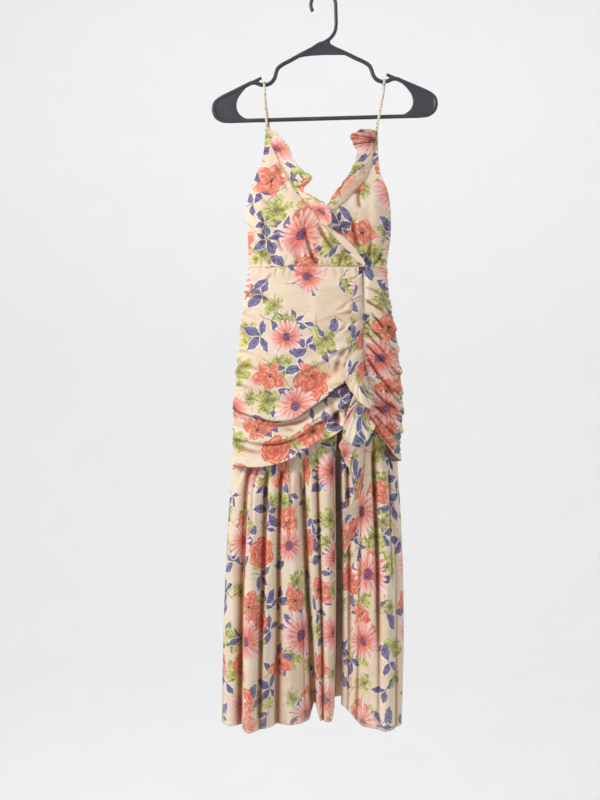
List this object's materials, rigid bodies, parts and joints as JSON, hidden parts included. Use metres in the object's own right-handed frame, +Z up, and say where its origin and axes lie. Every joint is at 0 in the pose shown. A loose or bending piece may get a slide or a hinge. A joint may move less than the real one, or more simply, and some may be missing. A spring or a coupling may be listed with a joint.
{
  "type": "ruched midi dress on a hanger",
  "caption": "Printed chiffon midi dress with thin straps, a ruffled wrap neck, ruched hips, a cascade ruffle and a gathered slit skirt, hung on a plain notched hanger",
  "frame": {"origin": "the inside top of the hanger's hook, where a rail would carry it", "axes": "+X to the right as seen from the front, -Y to the front of the dress, +Z up; the dress hangs down along -Z"},
  "size_m": [0.4276, 0.1477, 1.3791],
  "materials": {
    "printed_chiffon": "matt crinkle chiffon, floral print on pale peach",
    "strap_chiffon": "matt rolled chiffon",
    "charcoal_plastic": "smooth moulded, slight sheen"
  },
  "bodies": {
    "root": {"hanger": "charcoal_plastic", "strap_left": "strap_chiffon", "strap_right": "strap_chiffon", "bodice_front_left": "printed_chiffon", "bodice_front_right": "printed_chiffon", "bodice_back": "printed_chiffon", "neck_ruffle_left": "printed_chiffon", "neck_ruffle_right": "printed_chiffon", "hip_front_left": "printed_chiffon", "hip_front_right": "printed_chiffon", "hip_back": "printed_chiffon", "cascade_upper": "printed_chiffon", "cascade_middle": "printed_chiffon", "cascade_lower": "printed_chiffon", "skirt_front_left": "printed_chiffon", "skirt_front_right": "printed_chiffon", "skirt_back": "printed_chiffon"}
  },
  "joints": []
}
